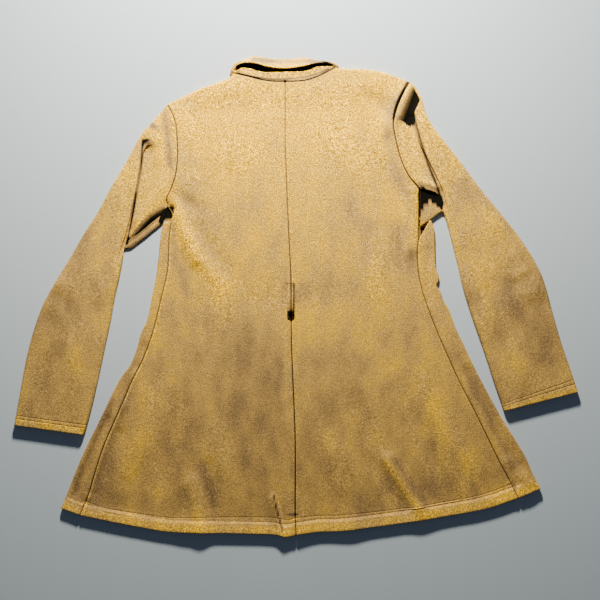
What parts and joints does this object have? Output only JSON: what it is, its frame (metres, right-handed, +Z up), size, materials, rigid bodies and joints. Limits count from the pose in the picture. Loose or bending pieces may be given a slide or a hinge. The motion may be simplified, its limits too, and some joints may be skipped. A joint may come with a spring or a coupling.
{
  "type": "trench coat",
  "caption": "Collared faux suede trench coat laid face down and flat, back up, with seamed back, long straight sleeves, side folds and a belt loop.",
  "frame": {"origin": "on the surface the coat lies on, under the centre back seam at the waist", "axes": "+X to the right as the back is seen from above, +Y from the waist to the collar, +Z up from the surface"},
  "size_m": [1.0108, 0.8607, 0.0136],
  "materials": {
    "back_left": "matte napped suede look",
    "back_right": "matte napped suede look",
    "front_left": "matte napped suede look",
    "front_right": "matte napped suede look",
    "sleeve_left": "matte napped suede look",
    "sleeve_right": "matte napped suede look",
    "collar": "matte napped suede look",
    "belt_loop": "matte napped suede look"
  },
  "bodies": {
    "root": {"back_left": "back_left", "back_right": "back_right", "front_left": "front_left", "front_right": "front_right", "sleeve_left": "sleeve_left", "sleeve_right": "sleeve_right", "collar": "collar", "belt_loop": "belt_loop"}
  },
  "joints": []
}
